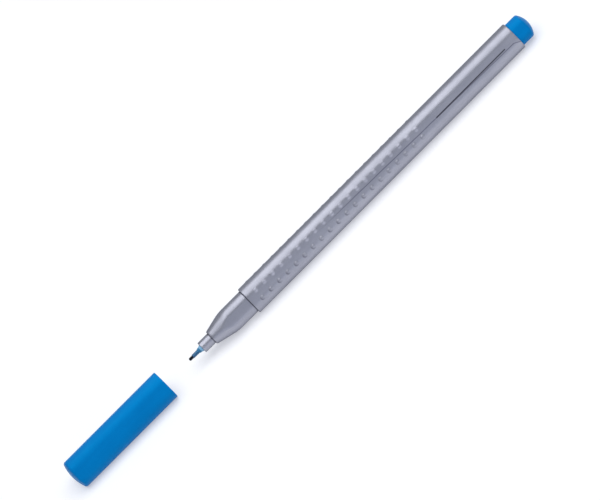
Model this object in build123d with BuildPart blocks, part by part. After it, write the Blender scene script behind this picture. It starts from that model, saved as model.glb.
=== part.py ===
from build123d import *
import os
from math import cos, radians, sin, sqrt

os.makedirs("parts", exist_ok=True)

# Fineliner pen, shown with its cap pulled off and lying ahead of the nib. Millimetres.
# The pen's axis runs along +X from the nib to the end plug. Pen and cap lie on one flat side
# each, on z = 0, and the origin is the middle of the whole length.

# Lengths along the axis
barrel_length = 114.2
section_length = 15.9
spigot_length = 4.2
collar_length = 1.5
tube_reach = 2.3
point_reach = 1.5
plug_length = 5.9
cap_length = 40.0
cap_gap = 10.2
section_tenon_length = 12.0
plug_tenon_length = 8.0

# Soft three-sided section: the straight part of a side, and the corner radius of each skin
body_flat = 2.5
barrel_corner = 3.6
barrel_wall = 0.85
section_step = 0.68
plug_step = 0.62
cap_flat = 2.75
rim_radius = 0.3

# Grip nubs in two rows on each side of the barrel
nub_count = 20
nub_pitch = 3.62
first_nub = 3.7
nub_radius = 0.8
nub_height = 0.2
nub_root = 0.3
nub_row_angle = 6.0

# Nose: a round cone that runs into the three-sided waist, and the round spigot
nose_front_radius = 2.5
cone_length = 7.9
cone_blend = 2.0
nose_rim = 0.25
spigot_radius = 1.93
spigot_rim = 0.15
tenon_bore_radius = 2.6
tenon_bore_past_shoulder = 6.0

# Nib
collar_base_radius = 1.15
collar_tip_radius = 0.76
collar_stem_radius = 1.02
collar_stem_length = 6.0
tube_radius = 0.64
tube_wall = 0.12
tube_rim = 0.04
tube_seat_length = 5.0
point_radius = 0.5
point_round = 0.4
point_tail = 6.5
wick_radius = 0.8
wick_depth = 8.0

# Reservoir
core_radius = 3.15
film_thickness = 0.15

# End plug
plug_dome_rise = 1.5
plug_rim = 0.35
plug_floor = 1.2

# Cap
crown_rise = 1.0
crown_rim = 0.6
crown_floor = 1.3
mouth_rim = 0.2
seal_wall = 0.9
seal_lip_length = 3.4
seal_lip_lead = 0.3
seal_floor = 1.0
vent_radius = 0.35

# Clearances: pressed pieces, the film round the core, the cap on the section, and its seal
press_gap = 0.04
film_gap = 0.03
cap_clearance = 0.1
seal_gap = 0.2
overrun = 1.0

# A side's distance from the middle, and a corner's, as shares of the side of a triangle
inradius_share = 1 / (2 * sqrt(3))
circumradius_share = 1 / sqrt(3)

# Radii of the other skins follow the barrel's
section_corner = barrel_corner - section_step
plug_corner = barrel_corner - plug_step
bore_corner = barrel_corner - barrel_wall
tenon_corner = bore_corner - press_gap
barrel_apothem = body_flat * inradius_share + barrel_corner
cap_apothem = barrel_apothem + nub_height
cap_corner = cap_apothem - cap_flat * inradius_share
cap_bore_corner = section_corner + cap_clearance
axis_height = cap_apothem

# Stations along the axis
nose_reach = section_length + spigot_length + collar_length + tube_reach + point_reach
overall_length = cap_length + cap_gap + nose_reach + barrel_length + plug_length
barrel_front = cap_length + cap_gap + nose_reach - overall_length / 2
barrel_rear = barrel_front + barrel_length
section_front = barrel_front - section_length
spigot_front = section_front - spigot_length
collar_front = spigot_front - collar_length
tube_front = collar_front - tube_reach
point_front = tube_front - point_reach
point_rear = spigot_front + point_tail
plug_rear = barrel_rear + plug_length
cap_mouth = point_front - cap_gap
cap_end = cap_mouth - cap_length
reservoir_front = barrel_front + section_tenon_length
reservoir_rear = barrel_rear - plug_tenon_length
seal_mouth = cap_mouth - section_length - seal_gap

pen_axis = Axis((0, 0, axis_height), (1, 0, 0))
lengthwise = Plane(origin=(0, 0, axis_height), x_dir=(1, 0, 0), z_dir=(0, -1, 0))


def station(x):
    """Plane across the pen at x, with its own x to the side and its own y upwards."""
    return Plane(origin=(x, 0, axis_height), x_dir=(0, 1, 0), z_dir=(1, 0, 0))


def soft_triangle(flat, corner):
    """Three-sided outline lying on one flat, with round corners."""
    RegularPolygon(radius=flat * circumradius_share, side_count=3, rotation=90)
    offset(amount=corner)


def dome_radius(half_width, rise):
    """Radius of the sphere that rises by the given amount over the given half width."""
    return (half_width**2 + rise**2) / (2 * rise)


def dome_profile(base, apex, sphere):
    """Half outline of a round-nosed bar from base to apex, to be turned about the pen's axis."""
    middle = apex - sphere if apex > base else apex + sphere
    back = min(base, middle) - overrun if apex > base else max(base, middle) + overrun
    with BuildLine() as outline:
        CenterArc((middle, 0), sphere, 0 if apex > base else 90, 90)
        Polyline((middle, sphere), (back, sphere), (back, 0), (apex, 0))
    make_face(outline.edges())


# One grip nub: a low spherical button with a short root in the wall
nub_sphere = dome_radius(nub_radius, nub_height)
nub_root_radius = sqrt(nub_sphere**2 - (nub_sphere - nub_height - nub_root) ** 2)
with BuildPart() as nub:
    with BuildSketch(Plane.XZ):
        with BuildLine():
            RadiusArc((0, nub_height), (nub_root_radius, -nub_root), nub_sphere)
            Polyline((nub_root_radius, -nub_root), (0, -nub_root), (0, nub_height))
        make_face()
    revolve(axis=Axis.Z)

# The rows stand on the corner rounds, just past the flat of each side
nub_places = []
for side_angle in (30, 150, 270):
    for turn in (-1, 1):
        corner_angle = radians(side_angle + turn * 60)
        normal_angle = radians(side_angle + turn * nub_row_angle)
        nub_y = body_flat * circumradius_share * cos(corner_angle) + barrel_corner * cos(normal_angle)
        nub_z = body_flat * circumradius_share * sin(corner_angle) + barrel_corner * sin(normal_angle)
        for number in range(nub_count):
            place = (barrel_front + first_nub + number * nub_pitch, nub_y, axis_height + nub_z)
            outward = (0, cos(normal_angle), sin(normal_angle))
            nub_places.append(Plane(origin=place, x_dir=(1, 0, 0), z_dir=outward))

# Barrel: a straight tube with rounded rims, the nub rows and a bore of even wall
with BuildPart() as barrel:
    with BuildSketch(station(barrel_front)):
        soft_triangle(body_flat, barrel_corner)
    extrude(amount=barrel_length)
    rims = barrel.faces().sort_by(Axis.X)
    fillet(rims[0].edges() + rims[-1].edges(), rim_radius)
    with Locations(*nub_places):
        add(nub.part)
    with BuildSketch(station(barrel_front)):
        soft_triangle(body_flat, bore_corner)
    extrude(amount=barrel_length, mode=Mode.SUBTRACT)

# Nose section: the three-sided waist cut by a round cone, the spigot ahead and the tenon behind
waist_reach = body_flat * circumradius_share + section_corner
cone_slope_share = (waist_reach - nose_front_radius) / cone_length
cone_top = waist_reach + overrun
cone_end = section_front + (cone_top - nose_front_radius) / cone_slope_share
with BuildPart() as nose_section:
    with BuildSketch(station(section_front)):
        soft_triangle(body_flat, section_corner)
    extrude(amount=section_length)
    with BuildSketch(lengthwise):
        with BuildLine():
            Polyline(
                (section_front, 0),
                (section_front, nose_front_radius),
                (cone_end, cone_top),
                (barrel_front, cone_top),
                (barrel_front, 0),
                close=True,
            )
        make_face()
    revolve(axis=pen_axis, mode=Mode.INTERSECT)
    cone = nose_section.faces().filter_by(GeomType.CONE)[0]
    scallops = cone.edges().filter_by(GeomType.LINE, reverse=True).sort_by(Axis.X)[1:]
    fillet(scallops, cone_blend)
    nose_face = nose_section.faces().sort_by(Axis.X)[0]
    fillet(nose_face.edges(), nose_rim)
    with BuildSketch(station(spigot_front)):
        Circle(spigot_radius)
    extrude(amount=spigot_length)
    spigot_face = nose_section.faces().sort_by(Axis.X)[0]
    fillet(spigot_face.edges(), spigot_rim)
    with BuildSketch(station(barrel_front)):
        soft_triangle(body_flat, tenon_corner)
    extrude(amount=section_tenon_length)
    with BuildSketch(station(barrel_front - tenon_bore_past_shoulder)):
        Circle(tenon_bore_radius)
    extrude(amount=tenon_bore_past_shoulder + section_tenon_length, mode=Mode.SUBTRACT)
    with BuildSketch(station(spigot_front)):
        Circle(collar_stem_radius + press_gap)
    extrude(amount=spigot_length + section_length, mode=Mode.SUBTRACT)

# Nib collar: a stem pressed into the spigot and a small cone that seats on its face
with BuildPart() as nib_collar:
    with BuildSketch(lengthwise):
        with BuildLine():
            Polyline(
                (collar_front, tube_radius + press_gap),
                (collar_front, collar_tip_radius),
                (spigot_front, collar_base_radius),
                (spigot_front, collar_stem_radius),
                (spigot_front + collar_stem_length, collar_stem_radius),
                (spigot_front + collar_stem_length, tube_radius + press_gap),
                close=True,
            )
        make_face()
    revolve(axis=pen_axis)

# Nib tube: a thin metal sleeve through the collar
with BuildPart() as nib_tube:
    with BuildSketch(station(tube_front)):
        Circle(tube_radius)
        Circle(tube_radius - tube_wall, mode=Mode.SUBTRACT)
    extrude(amount=tube_reach + collar_length + tube_seat_length)
    tube_face = nib_tube.faces().sort_by(Axis.X)[0]
    fillet(tube_face.outer_wire().edges(), tube_rim)

# Writing point: a fibre rod in the tube, round at its free end
with BuildPart() as nib_point:
    with BuildSketch(station(point_front)):
        Circle(point_radius)
    extrude(amount=point_rear - point_front)
    point_face = nib_point.faces().sort_by(Axis.X)[0]
    fillet(point_face.edges(), point_round)

# Feed wick: from the back of the point into the reservoir
with BuildPart() as feed_wick:
    with BuildSketch(station(point_rear)):
        Circle(wick_radius)
    extrude(amount=reservoir_front + wick_depth - point_rear)

# Ink reservoir: a fibre core pierced by the wick
with BuildPart() as ink_reservoir:
    with BuildSketch(station(reservoir_front)):
        Circle(core_radius)
    extrude(amount=reservoir_rear - reservoir_front)
    with BuildSketch(station(reservoir_front)):
        Circle(wick_radius + press_gap)
    extrude(amount=wick_depth, mode=Mode.SUBTRACT)

# Reservoir sleeve: film round the core
with BuildPart() as reservoir_sleeve:
    with BuildSketch(station(reservoir_front)):
        Circle(core_radius + film_gap + film_thickness)
        Circle(core_radius + film_gap, mode=Mode.SUBTRACT)
    extrude(amount=reservoir_rear - reservoir_front)

# End plug: a hollow three-sided head with a low dome, and a tenon in the barrel
plug_sphere = dome_radius(body_flat / 2 + plug_corner, plug_dome_rise)
with BuildPart() as end_plug:
    with BuildSketch(station(barrel_rear)):
        soft_triangle(body_flat, plug_corner)
    extrude(amount=plug_length)
    with BuildSketch(lengthwise):
        dome_profile(barrel_rear, plug_rear, plug_sphere)
    revolve(axis=pen_axis, mode=Mode.INTERSECT)
    plug_dome = end_plug.faces().filter_by(GeomType.SPHERE)[0]
    fillet(plug_dome.edges(), plug_rim)
    with BuildSketch(station(reservoir_rear)):
        soft_triangle(body_flat, tenon_corner)
    extrude(amount=plug_tenon_length)
    with BuildSketch(station(reservoir_rear)):
        Circle(tenon_bore_radius)
    extrude(amount=plug_tenon_length + plug_length - plug_dome_rise - plug_floor, mode=Mode.SUBTRACT)

# Cap: a three-sided shell with a low domed crown, and air vents over the corners of its bore
crown_sphere = dome_radius(cap_flat / 2 + cap_corner, crown_rise)
cap_floor = cap_end + crown_rise + crown_floor
seal_radius = body_flat * inradius_share + cap_bore_corner - press_gap
vent_ring = seal_radius + vent_radius
with BuildPart() as cap_shell:
    with BuildSketch(station(cap_end)):
        soft_triangle(cap_flat, cap_corner)
    extrude(amount=cap_length)
    with BuildSketch(lengthwise):
        dome_profile(cap_mouth, cap_end, crown_sphere)
    revolve(axis=pen_axis, mode=Mode.INTERSECT)
    crown = cap_shell.faces().filter_by(GeomType.SPHERE)[0]
    fillet(crown.edges(), crown_rim)
    with BuildSketch(station(cap_floor)):
        soft_triangle(body_flat, cap_bore_corner)
    extrude(amount=cap_mouth - cap_floor, mode=Mode.SUBTRACT)
    mouth_face = cap_shell.faces().sort_by(Axis.X)[-1]
    fillet(mouth_face.outer_wire().edges(), mouth_rim)
    with BuildSketch(station(cap_end)):
        with PolarLocations(vent_ring, 3, start_angle=90):
            Circle(vent_radius)
    extrude(amount=cap_floor - cap_end, mode=Mode.SUBTRACT)

# Cap seal: a liner cup held by the flats of the cap's bore, with a lip that closes on the spigot
seal_lip_radius = spigot_radius + cap_clearance
with BuildPart() as cap_inner_seal:
    with BuildSketch(lengthwise):
        with BuildLine():
            Polyline(
                (cap_floor, 0),
                (cap_floor, seal_radius),
                (seal_mouth, seal_radius),
                (seal_mouth, seal_lip_radius + seal_lip_lead),
                (seal_mouth - seal_lip_lead, seal_lip_radius),
                (seal_mouth - seal_lip_length, seal_lip_radius),
                (seal_mouth - seal_lip_length, seal_radius - seal_wall),
                (cap_floor + seal_floor, seal_radius - seal_wall),
                (cap_floor + seal_floor, 0),
                close=True,
            )
        make_face()
    revolve(axis=pen_axis)

nodes = {
    "barrel": barrel,
    "nose_section": nose_section,
    "nib_collar": nib_collar,
    "nib_tube": nib_tube,
    "nib_point": nib_point,
    "feed_wick": feed_wick,
    "ink_reservoir": ink_reservoir,
    "reservoir_sleeve": reservoir_sleeve,
    "end_plug": end_plug,
    "cap_shell": cap_shell,
    "cap_inner_seal": cap_inner_seal,
}
for name, piece in nodes.items():
    piece.part.label = name
    export_step(piece.part, f"parts/{name}.step")
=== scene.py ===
"""Looks of a slim three-sided fibre-tip pen that lies with its cap pulled off.

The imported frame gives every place. The skins that show are drawn again here as finer meshes, each on
the body that carries it, and every piece gets a procedural finish. Lengths are in metres and angles in
radians, unless a docstring says otherwise.
"""
import logging
import math
from dataclasses import dataclass
from enum import Enum
from functools import cached_property
from typing import ClassVar

import bmesh
import bpy
from bmesh.types import BMEdge, BMesh, BMVert
from bpy.types import Material, Mesh, Node, NodeSocket, Object, ShaderNodeTree, bpy_prop_collection
from mathutils import Matrix, Vector


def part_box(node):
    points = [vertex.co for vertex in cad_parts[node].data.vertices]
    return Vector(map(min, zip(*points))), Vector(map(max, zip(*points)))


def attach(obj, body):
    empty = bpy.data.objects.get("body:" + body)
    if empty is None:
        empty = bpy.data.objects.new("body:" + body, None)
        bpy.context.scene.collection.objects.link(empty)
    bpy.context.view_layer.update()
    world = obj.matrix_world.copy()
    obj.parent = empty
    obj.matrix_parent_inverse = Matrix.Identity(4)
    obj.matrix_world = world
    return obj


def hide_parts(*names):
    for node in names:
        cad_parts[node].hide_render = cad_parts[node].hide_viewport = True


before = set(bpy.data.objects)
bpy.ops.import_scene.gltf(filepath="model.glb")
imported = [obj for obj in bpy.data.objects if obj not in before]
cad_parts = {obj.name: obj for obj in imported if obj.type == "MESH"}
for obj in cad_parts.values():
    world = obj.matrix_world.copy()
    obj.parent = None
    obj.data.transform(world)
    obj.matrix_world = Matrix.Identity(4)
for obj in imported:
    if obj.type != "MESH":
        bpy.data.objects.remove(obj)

LOG = logging.getLogger("fineliner")
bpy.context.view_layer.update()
MM = 0.001
THIRD_TURN = 2 * math.pi / 3
CREASE = math.radians(35.0)
MERGE_DISTANCE = 1e-7

# Steps of a full turn of a lofted ring, of a turned piece and of a nub, and of a rim's quarter turn
LOFT_STEPS = 180
TURNED_STEPS = 72
NUB_STEPS = 16
RIM_STEPS = 6

Pair = tuple[float, float]
Triple = tuple[float, float, float]
Colour = tuple[float, float, float, float]
Value = NodeSocket | float
Tint = NodeSocket | Colour


# Outlines and skins


class End(Enum):
    """Which way a closed end of a skin faces along the pen."""

    NIB_WAY = -1
    PLUG_WAY = 1


class NubRow(Enum):
    """Which of a side's two nub rows is meant."""

    HIGH = 1
    LOW = -1


def quarter_turn(steps: int) -> list[float]:
    """Angles that divide a quarter turn into even steps, from its start to its end."""
    return [math.pi / 2 * step / steps for step in range(steps + 1)]


@dataclass(frozen=True)
class SoftTriangle:
    """Three-sided outline with round corners that lies on one flat.

    Attributes:
        flat: Straight part of a side.
        corner: Radius of the corners.
    """

    flat: float
    corner: float

    @property
    def centre_reach(self) -> float:
        """Distance from the axis to the centre of a corner's arc."""
        return self.flat / math.sqrt(3)

    @property
    def apothem(self) -> float:
        """Distance from the axis to a flat."""
        return self.centre_reach / 2 + self.corner

    def inset(self, depth: float) -> "SoftTriangle":
        """The outline drawn inwards by a depth."""
        return SoftTriangle(self.flat, self.corner - depth)

    def reach(self, angle: float) -> float:
        """Distance from the axis to the outline in one direction.

        Args:
            angle: Direction across the pen, from the middle of the flat it lies on.

        Returns:
            The distance.
        """
        half = THIRD_TURN / 2
        from_flat = abs((angle + half) % THIRD_TURN - half)
        if self.apothem * math.tan(from_flat) <= self.flat / 2:
            return self.apothem / math.cos(from_flat)
        from_corner = half - from_flat
        side = self.centre_reach * math.sin(from_corner)
        return self.centre_reach * math.cos(from_corner) + math.sqrt(self.corner**2 - side**2)


@dataclass(frozen=True)
class DomedEnd:
    """A low dome that closes a three-sided skin, with a rounded rim.

    Attributes:
        outline: Outline of the skin that it closes.
        apex: Place of the dome's top along the pen.
        rise: Height of the dome over a circle as wide as the outline.
        rim: Radius of the rounded rim.
        way: Which way the dome faces.
        tip: Size of the last ring round the top, as a share of the face inside the rim.
    """

    outline: SoftTriangle
    apex: float
    rise: float
    rim: float
    way: End
    tip: float = 0.02

    @property
    def sphere(self) -> float:
        """Radius of the dome."""
        half = self.outline.flat / 2 + self.outline.corner
        return (half**2 + self.rise**2) / (2 * self.rise)

    def place(self, out: float, setback: float) -> float:
        """Place along the pen of a point at a distance from the axis, drawn back by the rim's rounding."""
        drop = self.sphere - math.sqrt(self.sphere**2 - out**2)
        return self.apex - self.way.value * (drop + setback)


class Loft:
    """A skin drawn over rings that stand across the pen's axis."""

    def __init__(self, height: float) -> None:
        """Starts an empty skin.

        Args:
            height: Height of the pen's axis over the floor.
        """
        self.bm: BMesh = bmesh.new()
        self.middle = Vector((0.0, 0.0, height))
        self.rings: list[list[BMEdge]] = []

    def circle(self, x: float, radius: float) -> list[BMVert]:
        """Adds a round ring.

        Args:
            x: Place along the pen.
            radius: Radius of the ring.

        Returns:
            The ring's vertices.
        """
        across = Matrix(((0, 0, 1, x), (1, 0, 0, 0), (0, 1, 0, self.middle.z), (0, 0, 0, 1)))
        half_step = Matrix.Rotation(math.pi / LOFT_STEPS, 4, "Z")
        made = bmesh.ops.create_circle(
            self.bm, cap_ends=False, segments=LOFT_STEPS, radius=radius, matrix=across @ half_step
        )
        verts = made["verts"]
        self.rings.append(list(dict.fromkeys(edge for vert in verts for edge in vert.link_edges)))
        return verts

    def triangle(self, x: float, outline: SoftTriangle) -> list[BMVert]:
        """Adds a three-sided ring: a circle whose thirds are moved out to the corners.

        Args:
            x: Place along the pen.
            outline: Outline of the ring.

        Returns:
            The ring's vertices.
        """
        verts = self.circle(x, outline.corner)
        for number in range(3):
            angle = number * THIRD_TURN
            out = Vector((0.0, math.sin(angle), math.cos(angle)))
            third = [vert for vert in verts if (vert.co - self.middle).dot(out) > outline.corner / 2]
            bmesh.ops.translate(self.bm, verts=third, vec=out * outline.centre_reach)
        return verts

    def wall(self, outline: SoftTriangle, low: float, high: float, stretches: int) -> None:
        """Adds the rings between the ends of a straight wall, which part it into equal stretches."""
        for step in range(1, stretches):
            self.triangle(low + (high - low) * step / stretches, outline)

    def planed_circle(self, x: float, radius: float, outline: SoftTriangle, blend: float) -> None:
        """Adds a round ring that is planed down to a three-sided outline, with a soft edge.

        Args:
            x: Place along the pen.
            radius: Radius before planing.
            outline: Outline that no part of the ring passes.
            blend: Depth over which the round runs into the flats.
        """
        for vert in self.circle(x, radius):
            across = Vector((0.0, vert.co.y, vert.co.z - self.middle.z))
            limit = outline.reach(math.atan2(across.y, -across.z))
            near = max(blend - abs(radius - limit), 0.0) / blend
            wanted = min(radius, limit) - near * near * blend / 4
            vert.co += across * (wanted / radius - 1)

    def round_edge(self, face: float, radius: float, rim: float) -> None:
        """Adds the rings of a round face towards the nib, with a rounded edge of radius rim."""
        for turn in quarter_turn(RIM_STEPS):
            self.circle(face + rim * (1 - math.cos(turn)), radius - rim * (1 - math.sin(turn)))

    def rounded_rim(self, outline: SoftTriangle, edge: float, rim: float, way: End, inwards: bool) -> None:
        """Adds the rings of a rounded rim between a side wall and a square end.

        Args:
            outline: Outline of the side wall.
            edge: Place of the square end along the pen.
            rim: Radius of the rim.
            way: Which way the end faces.
            inwards: True to go from the wall to the end, False to come from it.
        """
        turns = quarter_turn(RIM_STEPS)
        for turn in turns if inwards else reversed(turns):
            x = edge - way.value * rim * (1 - math.sin(turn))
            self.triangle(x, outline.inset(rim * (1 - math.cos(turn))))

    def dome(self, end: DomedEnd, inwards: bool) -> None:
        """Adds the rings of a rounded rim and a low dome, down to a small ring round its top.

        Args:
            end: The dome's sizes and place.
            inwards: True to go from the wall to the top, False to come from it.
        """
        steps: list[tuple[SoftTriangle, float, float]] = []
        for turn in quarter_turn(RIM_STEPS):
            setback = end.rim * (1 - math.sin(turn))
            steps.append((end.outline.inset(end.rim * (1 - math.cos(turn))), 1.0, setback))
        face = end.outline.inset(end.rim)
        steps += [(face, tenths / 10, 0.0) for tenths in range(9, 0, -1)]
        steps.append((face, end.tip, 0.0))
        for outline, share, setback in steps if inwards else reversed(steps):
            verts = self.triangle(0.0, outline)
            centre = Matrix.Translation(-self.middle)
            bmesh.ops.scale(self.bm, vec=(1.0, share, share), space=centre, verts=verts)
            for vert in verts:
                vert.co.x = end.place((vert.co - self.middle).length, setback)

    def skin(self, pierced: bool) -> None:
        """Bridges each ring to the next and closes the skin.

        Rings in one plane give a bridge no direction, so the second is moved a step along the pen and back.

        Args:
            pierced: True to bridge the last ring to the first, through the piece, and False to fill both.
        """
        pairs = list(zip(self.rings, self.rings[1:]))
        if pierced:
            pairs.append((self.rings[-1], self.rings[0]))
        near = 0.05 * MM
        for first, second in pairs:
            verts = list(dict.fromkeys(vert for edge in second for vert in edge.verts))
            level = abs(verts[0].co.x - first[0].verts[0].co.x) < near
            step = Vector((2 * near if level else 0.0, 0.0, 0.0))
            bmesh.ops.translate(self.bm, verts=verts, vec=step)
            bmesh.ops.bridge_loops(self.bm, edges=first + second)
            bmesh.ops.translate(self.bm, verts=verts, vec=-step)
        if not pierced:
            for ring in (self.rings[0], self.rings[-1]):
                bmesh.ops.edgeloop_fill(self.bm, edges=ring)


def spin_line(bm: BMesh, verts: list[BMVert], loop: bool, centre: Vector, axis: Vector, steps: int) -> None:
    """Joins vertices to a line and spins it in a full turn.

    Args:
        bm: Mesh that holds the vertices.
        verts: The line's vertices in order.
        loop: True to join the last to the first too.
        centre: Point on the axis of the spin.
        axis: Direction of that axis.
        steps: Number of steps in the turn.
    """
    following = verts[1:] + verts[:1] if loop else verts[1:]
    edges = [bm.edges.new(pair) for pair in zip(verts, following)]
    bmesh.ops.spin(
        bm,
        geom=verts + edges,
        cent=centre,
        axis=axis,
        angle=2 * math.pi,
        steps=steps,
        use_merge=True,
    )


def turned(profile: list[Pair], height: float) -> BMesh:
    """Turns a closed outline about the pen's axis.

    Args:
        profile: Points of the outline as place along the pen and distance from its axis.
        height: Height of the axis over the floor.

    Returns:
        The closed skin.
    """
    bm = bmesh.new()
    verts = [bm.verts.new((x, 0.0, height + out)) for x, out in profile]
    hollow = profile[0][1] > 0.0
    spin_line(bm, verts, hollow, Vector((0.0, 0.0, height)), Vector((1.0, 0.0, 0.0)), TURNED_STEPS)
    return bm


def shade(mesh: Mesh) -> None:
    """Shades a mesh smooth, with crisp creases."""
    mesh.shade_smooth()
    mesh.set_sharp_from_angle(angle=CREASE)


def as_piece(bm: BMesh, name: str) -> Object:
    """Turns a finished bmesh into a shaded object at the origin.

    Args:
        bm: The mesh, which is freed.
        name: Name of the piece.

    Returns:
        The new object.
    """
    bmesh.ops.remove_doubles(bm, verts=bm.verts, dist=MERGE_DISTANCE)
    bmesh.ops.recalc_face_normals(bm, faces=bm.faces)
    mesh = bpy.data.meshes.new(name)
    bm.to_mesh(mesh)
    bm.free()
    shade(mesh)
    piece = bpy.data.objects.new(name, mesh)
    bpy.context.scene.collection.objects.link(piece)
    return piece


def seat(piece: Object, node: str, body: str, finish: Material) -> None:
    """Dresses a piece and puts it on its body in place of a CAD node.

    Args:
        piece: The new piece.
        node: CAD node that it stands for.
        body: Body that carries it.
        finish: Material of the piece.
    """
    piece.data.materials.append(finish)
    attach(piece, body)
    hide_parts(node)
    LOG.info("%s: %d faces, finish %s", piece.name, len(piece.data.polygons), finish.name)


def dress_node(node: str, finish: Material) -> None:
    """Gives a CAD node that keeps its own mesh a finish.

    Args:
        node: Name of the node.
        finish: Its material.
    """
    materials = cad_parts[node].data.materials
    materials.clear()
    materials.append(finish)
    LOG.info("%s: CAD mesh kept, finish %s", node, finish.name)


# Shader nodes and shared effects


class Sheet:
    """A node tree with short calls that add nodes and link them."""

    def __init__(self, tree: ShaderNodeTree) -> None:
        """Works on one node tree."""
        self.tree = tree

    def node(self, kind: str, **settings: object) -> Node:
        """Adds a node.

        Args:
            kind: Blender's name of the node type.
            settings: Attributes to set on it.

        Returns:
            The new node.
        """
        made = self.tree.nodes.new(kind)
        for name, value in settings.items():
            setattr(made, name, value)
        return made

    def put(self, value: Value | Tint, socket: NodeSocket) -> None:
        """Links a socket to another, or sets a plain value on it.

        Args:
            value: Socket to link from, or the plain value.
            socket: Socket that takes it.
        """
        if isinstance(value, NodeSocket):
            self.tree.links.new(value, socket)
        else:
            socket.default_value = value

    def math(self, operation: str, first: Value, second: Value = 0.0) -> NodeSocket:
        """Adds a Math node.

        Args:
            operation: The node's operation.
            first: First value.
            second: Second value.

        Returns:
            The result's socket.
        """
        made = self.node("ShaderNodeMath", operation=operation)
        self.put(first, made.inputs[0])
        self.put(second, made.inputs[1])
        return made.outputs[0]

    def add(self, first: Value, second: Value) -> NodeSocket:
        """Sum of two values."""
        return self.math("ADD", first, second)

    def minus(self, first: Value, second: Value) -> NodeSocket:
        """First value less the second."""
        return self.math("SUBTRACT", first, second)

    def times(self, first: Value, second: Value) -> NodeSocket:
        """Product of two values."""
        return self.math("MULTIPLY", first, second)

    def larger(self, first: Value, second: Value) -> NodeSocket:
        """The larger of two values."""
        return self.math("MAXIMUM", first, second)

    def gap(self, first: Value, second: Value) -> NodeSocket:
        """Distance between two values."""
        return self.math("ABSOLUTE", self.minus(first, second))

    def raised(self, base: Value, extra: Value, share: float) -> NodeSocket:
        """A value with a share of another added to it."""
        return self.add(base, self.times(extra, share))

    def mixed(self, first: Value, first_share: float, second: Value, second_share: float) -> NodeSocket:
        """Sum of a share of one value and a share of another."""
        return self.add(self.times(first, first_share), self.times(second, second_share))

    def span(
        self, value: Value, low: float, high: float, first: float = 0.0, last: float = 1.0
    ) -> NodeSocket:
        """Maps a value from one range to another, smoothly and within it.

        Args:
            value: Value to map.
            low: Start of its range.
            high: End of its range.
            first: Result at the start.
            last: Result at the end.

        Returns:
            The result's socket.
        """
        made = self.node("ShaderNodeMapRange", interpolation_type="SMOOTHSTEP")
        names = ("Value", "From Min", "From Max", "To Min", "To Max")
        for name, given in zip(names, (value, low, high, first, last)):
            self.put(given, made.inputs[name])
        return made.outputs["Result"]

    def noise(self, place: NodeSocket, scale: Value, detail: float = 2.0, rough: float = 0.5) -> NodeSocket:
        """Adds a Noise texture.

        Args:
            place: Coordinates.
            scale: Features per metre.
            detail: Octaves of detail.
            rough: Weight of the finer octaves.

        Returns:
            The noise value's socket.
        """
        made = self.node("ShaderNodeTexNoise")
        for name, given in zip(("Vector", "Scale", "Detail", "Roughness"), (place, scale, detail, rough)):
            self.put(given, made.inputs[name])
        return made.outputs[0]

    def stray(self, place: NodeSocket, scale: float, detail: float, width: float) -> NodeSocket:
        """Noise that strays to both sides of nought, over a width."""
        return self.times(self.minus(self.noise(place, scale, detail), 0.5), width)

    def stretch(self, place: NodeSocket, scale: Triple, turn: Triple = (0.0, 0.0, 0.0)) -> NodeSocket:
        """Stretches and turns coordinates.

        Args:
            place: Coordinates.
            scale: Scale along each axis.
            turn: Rotation about each axis.

        Returns:
            The new coordinates' socket.
        """
        made = self.node("ShaderNodeMapping")
        self.put(place, made.inputs["Vector"])
        made.inputs["Scale"].default_value = scale
        made.inputs["Rotation"].default_value = turn
        return made.outputs["Vector"]

    def blend(self, share: Value, first: Tint, second: Tint, way: str = "MIX") -> NodeSocket:
        """Mixes two colours.

        Args:
            share: Share of the second.
            first: First colour.
            second: Second colour.
            way: The node's way of mixing.

        Returns:
            The colour's socket.
        """
        made = self.node("ShaderNodeMix", data_type="RGBA", blend_type=way)
        self.put(share, made.inputs[0])
        self.put(first, made.inputs[6])
        self.put(second, made.inputs[7])
        return made.outputs[2]

    def attribute(self, name: str) -> NodeSocket:
        """Value that the mesh itself holds under a name."""
        return self.node("ShaderNodeAttribute", attribute_name=name).outputs["Fac"]


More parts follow.
